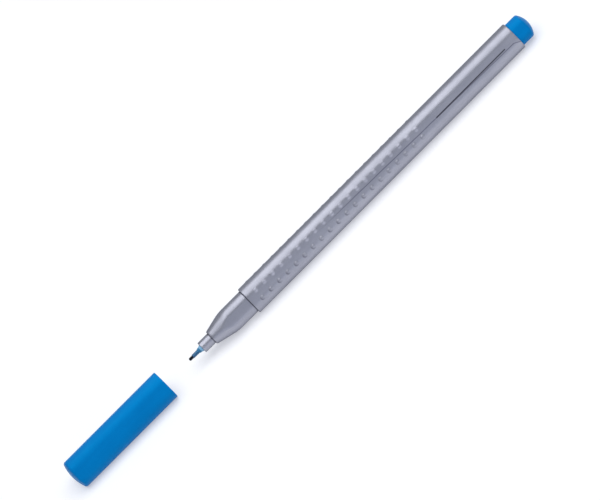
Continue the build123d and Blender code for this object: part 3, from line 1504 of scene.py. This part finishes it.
@dataclass
class Nib:
    """Writing end: collar, metal tube and fibre point.

    Attributes:
        height: Height of the pen's axis over the floor.
        collar_length: Length of the collar's cone.
        collar_base: Radius of the cone's base.
        collar_tip: Radius of the cone's tip.
        collar_dip: How far the cone's side is hollowed.
        collar_stem: Radius of the stem.
        collar_hole: Radius of the hole through the collar.
        collar_round: Rounding of the cone's edges.
        tube_wall: Thickness of the tube.
        point_round: Rounding of the writing end.
        steps: Steps in which a curve of an outline is drawn.
    """

    height: float
    collar_length: float = 1.5 * MM
    collar_base: float = 1.15 * MM
    collar_tip: float = 0.76 * MM
    collar_dip: float = 0.035 * MM
    collar_stem: float = 1.02 * MM
    collar_hole: float = 0.68 * MM
    collar_round: float = 0.05 * MM
    tube_wall: float = 0.12 * MM
    point_round: float = 0.4 * MM
    steps: int = 8

    def build(self) -> None:
        """Builds and dresses the collar, the tube and the point."""
        self.build_collar()
        self.build_tube()
        self.build_point()

    def build_collar(self) -> None:
        """Builds and dresses the collar, a slightly hollow cone with a stem behind it."""
        low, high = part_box("nib_collar")
        base = low.x + self.collar_length
        small = self.collar_round
        profile = [
            (low.x, self.collar_hole),
            (low.x, self.collar_tip - small),
            (low.x + 0.3 * small, self.collar_tip - 0.3 * small),
            (low.x + small, self.collar_tip),
        ]
        for step in range(1, self.steps):
            share = step / self.steps
            dip = self.collar_dip * math.sin(math.pi * share)
            out = self.collar_tip + (self.collar_base - self.collar_tip) * share - dip
            profile.append((low.x + small + (self.collar_length - 3 * small) * share, out))
        profile += [
            (base - 2 * small, self.collar_base),
            (base - 0.4 * small, self.collar_base),
            (base, self.collar_base - 0.5 * small),
            (base, self.collar_stem),
            (high.x, self.collar_stem),
            (high.x, self.collar_hole),
        ]
        finish = StainedPlastic(
            "light_blue_collar",
            light=(0.37, 0.66, 0.91, 1.0),
            deep=(0.29, 0.57, 0.83, 1.0),
            smooth=0.28,
            dull=0.38,
            shine=0.4,
            front=low.x,
        )
        piece = as_piece(turned(profile, self.height), "nib_collar_skin")
        seat(piece, "nib_collar", "pen", finish.make())

    def build_tube(self) -> None:
        """Builds and dresses the tube, with a rolled front rim."""
        low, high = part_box("nib_tube")
        radius = (high.z - low.z) / 2
        bore = radius - self.tube_wall
        roll = self.tube_wall / 2
        profile = [(high.x, bore)]
        for quarter in quarter_turn(self.steps):
            turn = 2 * quarter
            profile.append((low.x + roll * (1 - math.sin(turn)), bore + roll * (1 - math.cos(turn))))
        profile.append((high.x, radius))
        finish = InkedSteel(
            "inked_steel",
            light=(0.045, 0.145, 0.28, 1.0),
            deep=(0.04, 0.13, 0.26, 1.0),
            smooth=0.25,
            dull=0.42,
            front=low.x,
        )
        piece = as_piece(turned(profile, self.height), "nib_tube_skin")
        seat(piece, "nib_tube", "pen", finish.make())

    def build_point(self) -> None:
        """Builds and dresses the fibre point."""
        low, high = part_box("nib_point")
        radius = (high.z - low.z) / 2
        profile = [(low.x, 0.0)]
        for turn in quarter_turn(self.steps):
            x = low.x + self.point_round * (1 - math.cos(turn))
            profile.append((x, radius - self.point_round * (1 - math.sin(turn))))
        profile += [(high.x, radius), (high.x, 0.0)]
        finish = InkedFibre(
            "inked_point",
            light=(0.012, 0.02, 0.034, 1.0),
            deep=(0.004, 0.007, 0.012, 1.0),
            smooth=0.5,
            dull=0.75,
            strands=14000.0,
            relief=0.012 * MM,
        )
        piece = as_piece(turned(profile, self.height), "nib_point_skin")
        seat(piece, "nib_point", "pen", finish.make())


@dataclass
class EndPlug:
    """Coloured plug in the rear end of the barrel.

    Attributes:
        height: Height of the pen's axis over the floor.
        outline: Outline of the head.
        tenon: Outline of the tenon.
        rise: Height of the dome.
        rim: Rounding of the dome's rim.
        bore: Radius of the bore.
        floor: Thickness between the bore and the foot of the dome.
        seam: Depth of the fine gap at the barrel's rear.
    """

    height: float
    outline: SoftTriangle = SoftTriangle(2.5 * MM, 2.98 * MM)
    tenon: SoftTriangle = SoftTriangle(2.5 * MM, 2.71 * MM)
    rise: float = 1.5 * MM
    rim: float = 0.35 * MM
    bore: float = 2.6 * MM
    floor: float = 1.2 * MM
    seam: float = 0.07 * MM

    def build(self, finish: Material) -> None:
        """Builds and dresses the plug.

        Args:
            finish: The blue plastic.
        """
        low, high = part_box("end_plug")
        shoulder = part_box("barrel")[1].x
        end = DomedEnd(self.outline, high.x, self.rise, self.rim, End.PLUG_WAY)
        loft = Loft(self.height)
        loft.circle(high.x - self.rise - self.floor, self.bore)
        loft.circle(low.x, self.bore)
        loft.triangle(low.x, self.tenon)
        loft.triangle(shoulder, self.tenon)
        loft.triangle(shoulder, self.outline.inset(self.seam))
        loft.triangle(shoulder + self.seam, self.outline)
        loft.dome(end, inwards=True)
        loft.skin(pierced=False)
        seat(as_piece(loft.bm, "end_plug_skin"), "end_plug", "pen", finish)


@dataclass
class Cap:
    """Push-on cap: shell with a low domed crown and vents, and the liner inside.

    Attributes:
        height: Height of the pen's axis over the floor.
        outline: Outline of the shell.
        bore: Outline of the bore.
        stretches: Stretches into which the wall is parted.
        rise: Height of the crown.
        crown_rim: Rounding of the crown's rim.
        crown_floor: Thickness between the foot of the crown and the bore.
        mouth_rim: Rounding of the mouth's outer edge.
        mouth_lead: Bevel of the mouth's inner edge.
        vent_radius: Radius of an air vent.
        vent_ring: Distance of the vents from the axis.
        vent_steps: Steps of a vent's round.
        drill_spare: How much longer than a vent its drill is.
    """

    height: float
    outline: SoftTriangle = SoftTriangle(2.75 * MM, 3.7278 * MM)
    bore: SoftTriangle = SoftTriangle(2.5 * MM, 3.02 * MM)
    stretches: int = 6
    rise: float = 1.0 * MM
    crown_rim: float = 0.6 * MM
    crown_floor: float = 1.3 * MM
    mouth_rim: float = 0.2 * MM
    mouth_lead: float = 0.08 * MM
    vent_radius: float = 0.35 * MM
    vent_ring: float = 4.0517 * MM
    vent_steps: int = 24
    drill_spare: float = 2.0 * MM

    def build(self, finish: Material) -> None:
        """Builds and dresses the shell.

        Args:
            finish: The blue plastic.
        """
        low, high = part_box("cap_shell")
        floor = low.x + self.rise + self.crown_floor
        end = DomedEnd(self.outline, low.x, self.rise, self.crown_rim, End.NIB_WAY)
        loft = Loft(self.height)
        loft.dome(end, inwards=False)
        loft.wall(self.outline, low.x, high.x, self.stretches)
        loft.rounded_rim(self.outline, high.x, self.mouth_rim, End.PLUG_WAY, inwards=True)
        loft.triangle(high.x, self.bore.inset(-self.mouth_lead))
        loft.triangle(high.x - self.mouth_lead, self.bore)
        loft.triangle(floor, self.bore)
        loft.skin(pierced=False)
        piece = as_piece(loft.bm, "cap_shell_skin")
        self.drill_vents(piece, low.x, floor)
        seat(piece, "cap_shell", "cap", finish)

    def drill_vents(self, piece: Object, crown: float, floor: float) -> None:
        """Drills the air vents through the crown.

        Args:
            piece: The shell.
            crown: Place of the crown's top.
            floor: Place of the bore's floor.
        """
        bm = bmesh.new()
        lying = Matrix.Rotation(math.pi / 2, 4, "Y")
        for number in range(3):
            angle = math.radians(90 + 120 * number)
            out = Vector((0.0, math.cos(angle), math.sin(angle))) * self.vent_ring
            place = Matrix.Translation(out + Vector(((crown + floor) / 2, 0.0, self.height)))
            bmesh.ops.create_cone(
                bm,
                cap_ends=True,
                segments=self.vent_steps,
                radius1=self.vent_radius,
                radius2=self.vent_radius,
                depth=floor - crown + self.drill_spare,
                matrix=place @ lying,
            )
        drill = as_piece(bm, "vent_drill")
        cut = piece.modifiers.new("vents", "BOOLEAN")
        cut.operation = "DIFFERENCE"
        cut.solver = "EXACT"
        cut.object = drill
        drilled = piece.evaluated_get(bpy.context.evaluated_depsgraph_get())
        solid = bpy.data.meshes.new_from_object(drilled)
        piece.modifiers.clear()
        piece.data = solid
        shade(solid)
        bpy.data.objects.remove(drill)

    def dress_liner(self) -> None:
        """Dresses the liner inside the cap."""
        finish = ColouredPlastic(
            "liner_plastic",
            light=(0.74, 0.75, 0.75, 1.0),
            deep=(0.66, 0.67, 0.68, 1.0),
            smooth=0.45,
            dull=0.6,
            shine=0.35,
            glint=(1.0, 1.0, 1.0, 1.0),
        )
        dress_node("cap_inner_seal", finish.make())


@dataclass
class InkFeed:
    """Pieces inside the pen that carry the ink.

    Attributes:
        wick: Finish of the wick.
        core: Finish of the reservoir's fibre core.
        film: Finish of the film round the core.
    """

    wick: Finish = InkedFibre(
        "wick_fibre",
        light=(0.06, 0.2, 0.5, 1.0),
        deep=(0.015, 0.06, 0.22, 1.0),
        smooth=0.55,
        dull=0.8,
    )
    core: Finish = InkedFibre(
        "reservoir_fibre",
        light=(0.08, 0.3, 0.62, 1.0),
        deep=(0.015, 0.1, 0.34, 1.0),
        smooth=0.6,
        dull=0.85,
        strands=4000.0,
        relief=0.05 * MM,
    )
    film: Finish = ClearFilm(
        "clear_film",
        light=(0.85, 0.88, 0.92, 1.0),
        deep=(0.72, 0.78, 0.86, 1.0),
        smooth=0.08,
        dull=0.2,
    )

    def build(self) -> None:
        """Dresses the wick, the reservoir and its film."""
        dress_node("feed_wick", self.wick.make())
        dress_node("ink_reservoir", self.core.make())
        dress_node("reservoir_sleeve", self.film.make())


# Studio


@dataclass(frozen=True)
class SoftLamp:
    """A rectangular light that shines along its own -z.

    Attributes:
        name: Its name.
        size: Its sides.
        power: Its power in watts.
        colour: Its colour.
    """

    name: str
    size: Pair
    power: float
    colour: Triple = (1.0, 1.0, 1.0)

    def hang(self, place: Matrix) -> None:
        """Hangs the light.

        Args:
            place: Its place and turn.
        """
        lamp = bpy.data.lights.new(self.name, "AREA")
        lamp.shape = "RECTANGLE"
        lamp.size, lamp.size_y = self.size
        lamp.energy = self.power
        lamp.color = self.colour
        light = bpy.data.objects.new(self.name, lamp)
        light.matrix_world = place
        bpy.context.scene.collection.objects.link(light)
        LOG.info("%s hung", self.name)


@dataclass
class Studio:
    """Plain white table, soft light from above and a camera square to the pen.

    Attributes:
        height: Height of the pen's axis over the floor.
        frame_width: Width of the view at the pen.
        lens: Focal length in millimetres.
        sensor: Width of the sensor in millimetres.
        elevation: Height of the camera over the horizon.
        roll: Tilt of the pen in the view.
        swing: How far the camera stands round towards the cap.
        shift_right: How far the view's middle lies to the right of the pen's.
        shift_up: How far it lies above.
        floor_half: Half the side of the floor.
        floor_drop: How far the floor lies below the pen.
        floor_colour: Colour of the floor.
        glow_colour: Colour of the glow that makes the floor white where it is seen.
        glow: Strength of that glow.
        soft_box: Light over the pen, with its sides along the pen and across it.
        box_place: How far it hangs towards the plug, behind the pen and over the floor.
        pale_card: Weakly lit card in front of the pen, with its sides along the pen and upwards.
        card_distance: How far in front of the pen it stands.
        room_colour: Colour of the room.
        room: Brightness of the room.
    """

    height: float
    frame_width: float = 182.1 * MM
    lens: float = 600.0
    sensor: float = 36.0
    elevation: float = math.radians(38.9)
    roll: float = math.radians(45.05)
    swing: float = math.radians(2.5)
    shift_right: float = -0.1 * MM
    shift_up: float = -0.27 * MM
    floor_half: float = 4.0
    floor_drop: float = 0.02 * MM
    floor_colour: Colour = (0.66, 0.66, 0.66, 1.0)
    glow_colour: Colour = (0.92, 0.935, 1.0, 1.0)
    glow: float = 0.455
    soft_box: SoftLamp = SoftLamp("soft_box", size=(1.8, 1.42), power=13.4)
    box_place: Triple = (0.3, -0.1, 1.1)
    pale_card: SoftLamp = SoftLamp("pale_card", size=(2.6, 0.62), power=2.9, colour=(0.77, 0.81, 1.0))
    card_distance: float = 1.5
    room_colour: Colour = (0.88, 0.92, 1.0, 1.0)
    room: float = 0.33

    def build(self) -> None:
        """Sets up the floor, the lights, the room and the camera."""
        self.lay_floor()
        self.soft_box.hang(Matrix.Translation(self.box_place))
        facing = Matrix.Rotation(math.pi / 2, 4, "X")
        stand = Matrix.Translation((0.0, -self.card_distance, self.pale_card.size[1] / 2))
        self.pale_card.hang(stand @ facing)
        self.paint_room()
        self.place_camera()
        bpy.context.scene.view_settings.view_transform = "Standard"

    def lay_floor(self) -> None:
        """Lays the white table just under the pen."""
        bm = bmesh.new()
        level = Matrix.Translation((0.0, 0.0, -self.floor_drop))
        bmesh.ops.create_grid(bm, x_segments=1, y_segments=1, size=self.floor_half, matrix=level)
        floor = as_piece(bm, "table")
        coat = Coat("white_table", self.floor_colour)
        ray = coat.node("ShaderNodeLightPath").outputs
        seen = coat.larger(ray["Is Camera Ray"], ray["Is Glossy Ray"])
        seen = coat.larger(seen, ray["Is Transmission Ray"])
        coat.dress(
            Base_Color=self.floor_colour,
            Roughness=0.9,
            Specular_IOR_Level=0.0,
            Emission_Color=self.glow_colour,
            Emission_Strength=coat.times(seen, self.glow),
        )
        floor.data.materials.append(coat.material)
        LOG.info("table laid")

    def paint_room(self) -> None:
        """Gives the room an even pale light."""
        world = bpy.data.worlds.new("room")
        bpy.context.scene.world = world
        world.use_nodes = True
        back = world.node_tree.nodes["Background"]
        back.inputs["Color"].default_value = self.room_colour
        back.inputs["Strength"].default_value = self.room
        LOG.info("room painted")

    def place_camera(self) -> None:
        """Places the camera square to the pen, rolled so that the pen runs up to the right."""
        square = Vector((0.0, -math.cos(self.elevation), math.sin(self.elevation)))
        pen = Vector((1.0, 0.0, 0.0))
        back = square * math.cos(self.swing) - pen * math.sin(self.swing)
        along = pen * math.cos(self.swing) + square * math.sin(self.swing)
        up = back.cross(along)
        right = along * math.cos(self.roll) - up * math.sin(self.roll)
        top = along * math.sin(self.roll) + up * math.cos(self.roll)
        target = Vector((0.0, 0.0, self.height)) + right * self.shift_right + top * self.shift_up
        data = bpy.data.cameras.new("camera")
        data.lens = self.lens
        data.sensor_width = self.sensor
        data.clip_start = 0.01
        camera = bpy.data.objects.new("camera", data)
        distance = self.frame_width * self.lens / self.sensor
        turn = Matrix((right, top, back)).transposed().to_4x4()
        camera.matrix_world = Matrix.Translation(target + back * distance) @ turn
        bpy.context.scene.collection.objects.link(camera)
        bpy.context.scene.camera = camera
        LOG.info("camera placed")


def axis_height() -> float:
    """Height of the pen's axis over the floor, from the round writing point."""
    low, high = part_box("nib_point")
    return (low.z + high.z) / 2


def main() -> None:
    """Builds the pen's pieces in order, then the studio."""
    logging.basicConfig(level=logging.INFO, format="%(name)s: %(message)s")
    height = axis_height()
    blue = ColouredPlastic(
        "blue_plastic",
        light=(0.001, 0.228, 0.64, 1.0),
        deep=(0.001, 0.196, 0.573, 1.0),
        smooth=0.42,
        dull=0.54,
        glint=(0.02, 0.9, 1.0, 1.0),
    ).make()
    Barrel(height).build()
    NoseSection(height).build()
    Nib(height).build()
    EndPlug(height).build(blue)
    cap = Cap(height)
    cap.build(blue)
    cap.dress_liner()
    InkFeed().build()
    Studio(height).build()


if __name__ == "__main__":
    main()
